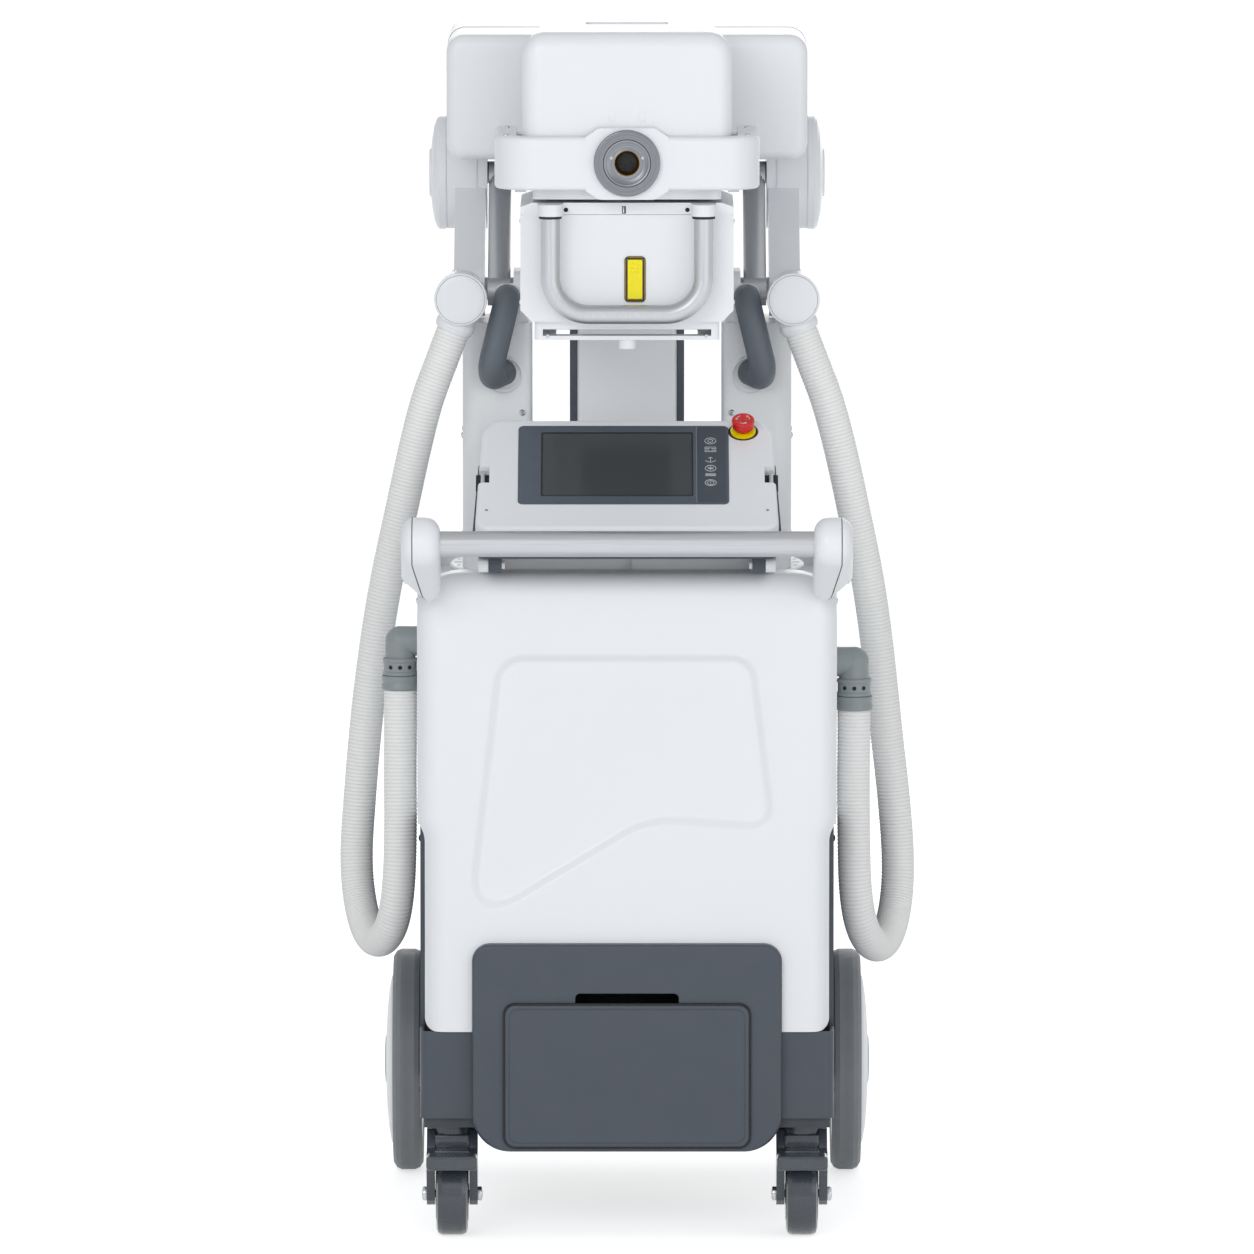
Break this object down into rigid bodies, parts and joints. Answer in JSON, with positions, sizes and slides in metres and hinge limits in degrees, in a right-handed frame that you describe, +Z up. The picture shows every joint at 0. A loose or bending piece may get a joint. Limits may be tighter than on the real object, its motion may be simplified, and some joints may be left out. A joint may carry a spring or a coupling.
{
  "type": "mobile x-ray machine",
  "caption": "Wheeled mobile x-ray machine with a swivelling column, folding lifting arm, tube head with beam limiter, tilting console, push bar, drawer and two side hoses.",
  "frame": {"origin": "on the floor under the middle of the machine without its hoses", "axes": "+Z up, -Y towards the operator at the console and push bar, +X to the operator's right"},
  "size_m": [0.7116, 0.851, 1.469],
  "materials": {
    "white_abs": "moulded ABS, satin gloss",
    "cool_grey_paint": "powder coat, fine satin",
    "slate_plastic": "moulded, fine texture",
    "dark_steel": "enamelled steel",
    "stainless": "brushed along the tube",
    "turned_steel": "turned",
    "brass": "turned brass",
    "cast_white": "painted casting",
    "screen_glass": "coated glass over a dark display",
    "red_plastic": "gloss",
    "yellow_plastic": "gloss",
    "grip_rubber": "moulded rubber sleeve",
    "tyre_rubber": "grey solid rubber",
    "wheel_white": "moulded",
    "caster_dark": "dark nylon, glossy",
    "hose_vinyl": "fine ribbed hose",
    "fitting_grey": "moulded fitting",
    "power_dark": "painted can"
  },
  "bodies": {
    "chassis": {"chassis_frame": "dark_steel", "front_cover": "white_abs", "side_cover_left": "white_abs", "side_cover_right": "white_abs", "skirt_left": "slate_plastic", "skirt_right": "slate_plastic", "rear_cover": "white_abs", "top_cover": "white_abs", "drawer_housing": "slate_plastic", "power_unit": "power_dark", "console_bracket": "cool_grey_paint", "hose_fitting_left": "fitting_grey", "hose_fitting_right": "fitting_grey", "hose_left": "hose_vinyl", "hose_right": "hose_vinyl"},
    "console": {"console_shell": "white_abs", "console_back": "slate_plastic", "console_bezel": "slate_plastic", "screen_glass": "screen_glass", "estop_base": "yellow_plastic"},
    "stop_button": {"estop_button": "red_plastic"},
    "push_handle": {"push_bar": "stainless", "pod_left": "white_abs", "pod_right": "white_abs"},
    "drawer": {"drawer_front": "slate_plastic", "drawer_tray": "slate_plastic"},
    "column": {"turntable_plate": "cool_grey_paint", "tower_left": "cool_grey_paint", "tower_right": "cool_grey_paint", "centre_column": "cool_grey_paint", "grip_left": "grip_rubber", "grip_right": "grip_rubber", "hose_drum_left": "white_abs", "hose_drum_right": "white_abs"},
    "lower_arm": {"lower_arm": "cast_white", "hub_cap_left": "white_abs", "hub_cap_right": "white_abs"},
    "tie_rods": {"tie_rod_left": "stainless", "tie_rod_right": "stainless"},
    "elbow_carrier": {"elbow_carrier": "turned_steel"},
    "forearm": {"forearm_housing": "white_abs"},
    "head_carrier": {"head_carrier": "cast_white"},
    "head": {"tube_head": "white_abs", "yoke_band": "white_abs", "trunnion_ring": "turned_steel", "trunnion_bush": "brass"},
    "limiter": {"limiter_body": "white_abs", "accessory_rail": "white_abs", "u_handle": "stainless"},
    "lamp_key": {"lamp_button": "yellow_plastic"},
    "rear_wheel_left": {"wheel_tyre_left": "tyre_rubber", "wheel_hub_left": "wheel_white"},
    "caster_fork_left": {"caster_fork_left": "caster_dark"},
    "caster_wheel_left": {"caster_wheel_left": "caster_dark"},
    "caster_pedal_left": {"caster_pedal_left": "caster_dark"},
    "rear_wheel_right": {"wheel_tyre_right": "tyre_rubber", "wheel_hub_right": "wheel_white"},
    "caster_fork_right": {"caster_fork_right": "caster_dark"},
    "caster_wheel_right": {"caster_wheel_right": "caster_dark"},
    "caster_pedal_right": {"caster_pedal_right": "caster_dark"}
  },
  "joints": [
    {"name": "column_swivel", "type": "hinge", "parent": "chassis", "child": "column", "pos_m": [0, 0.1065, 0.76], "axis": [0, 0, 1], "range_deg": [-90, 90], "deforming": ["hose_left", "hose_right"]},
    {"name": "shoulder_lift", "type": "hinge", "parent": "column", "child": "lower_arm", "pos_m": [0, 0.1065, 1.127], "axis": [1, 0, 0], "range_deg": [0, 75]},
    {"name": "tie_swing", "type": "hinge", "parent": "column", "child": "tie_rods", "pos_m": [0, 0.0565, 1.127], "axis": [1, 0, 0], "range_deg": [0, 75]},
    {"name": "carrier_level", "type": "hinge", "parent": "lower_arm", "child": "elbow_carrier", "pos_m": [0, 0.2765, 1.259], "axis": [1, 0, 0], "range_deg": [-75, 0]},
    {"name": "elbow_lift", "type": "hinge", "parent": "elbow_carrier", "child": "forearm", "pos_m": [0, 0.2765, 1.259], "axis": [-1, 0, 0], "range_deg": [0, 45]},
    {"name": "head_level", "type": "hinge", "parent": "forearm", "child": "head_carrier", "pos_m": [0, 0.0465, 1.37], "axis": [-1, 0, 0], "range_deg": [-45, 0]},
    {"name": "head_roll", "type": "hinge", "parent": "head_carrier", "child": "head", "pos_m": [0, -0.0535, 1.314], "axis": [0, 1, 0], "range_deg": [-90, 90]},
    {"name": "limiter_turn", "type": "hinge", "parent": "head", "child": "limiter", "pos_m": [0, -0.1835, 1.2625], "axis": [0, 0, 1], "range_deg": [-90, 90]},
    {"name": "lamp_press", "type": "slide", "parent": "limiter", "child": "lamp_key", "axis": [0, 1, 0], "range_m": [0, 0.002], "stiffness_N_per_m": 600, "springref_m": -0.001},
    {"name": "console_tilt", "type": "hinge", "parent": "chassis", "child": "console", "pos_m": [0, -0.2985, 0.824], "axis": [1, 0, 0], "range_deg": [0, 15]},
    {"name": "stop_press", "type": "slide", "parent": "console", "child": "stop_button", "axis": [0, 0.5045, -0.8634], "range_m": [0, 0.004], "stiffness_N_per_m": 1500, "springref_m": -0.002},
    {"name": "push_press", "type": "hinge", "parent": "chassis", "child": "push_handle", "pos_m": [0, -0.2155, 0.814], "axis": [1, 0, 0], "range_deg": [0, 6], "stiffness_Nm_per_rad": 60, "springref_deg": -8.59},
    {"name": "drawer_slide", "type": "slide", "parent": "chassis", "child": "drawer", "axis": [0, -1, 0], "range_m": [0, 0.21]},
    {"name": "rear_wheel_spin_left", "type": "hinge", "parent": "chassis", "child": "rear_wheel_left", "pos_m": [-0.275, 0.2865, 0.139], "axis": [1, 0, 0], "continuous": true},
    {"name": "caster_swivel_left", "type": "hinge", "parent": "chassis", "child": "caster_fork_left", "pos_m": [-0.213, -0.2335, 0.134], "axis": [0, 0, 1], "continuous": true},
    {"name": "caster_spin_left", "type": "hinge", "parent": "caster_fork_left", "child": "caster_wheel_left", "pos_m": [-0.213, -0.2635, 0.05], "axis": [1, 0, 0], "continuous": true},
    {"name": "pedal_press_left", "type": "hinge", "parent": "caster_fork_left", "child": "caster_pedal_left", "pos_m": [-0.213, -0.2955, 0.097], "axis": [1, 0, 0], "range_deg": [0, 12]},
    {"name": "rear_wheel_spin_right", "type": "hinge", "parent": "chassis", "child": "rear_wheel_right", "pos_m": [0.275, 0.2865, 0.139], "axis": [1, 0, 0], "continuous": true},
    {"name": "caster_swivel_right", "type": "hinge", "parent": "chassis", "child": "caster_fork_right", "pos_m": [0.213, -0.2335, 0.134], "axis": [0, 0, 1], "continuous": true},
    {"name": "caster_spin_right", "type": "hinge", "parent": "caster_fork_right", "child": "caster_wheel_right", "pos_m": [0.213, -0.2635, 0.05], "axis": [1, 0, 0], "continuous": true},
    {"name": "pedal_press_right", "type": "hinge", "parent": "caster_fork_right", "child": "caster_pedal_right", "pos_m": [0.213, -0.2955, 0.097], "axis": [1, 0, 0], "range_deg": [0, 12]}
  ],
  "couplings": [
    {"joint": "tie_swing", "follows": "shoulder_lift", "ratio": 1},
    {"joint": "carrier_level", "follows": "shoulder_lift", "ratio": -1},
    {"joint": "head_level", "follows": "elbow_lift", "ratio": -1}
  ]
}
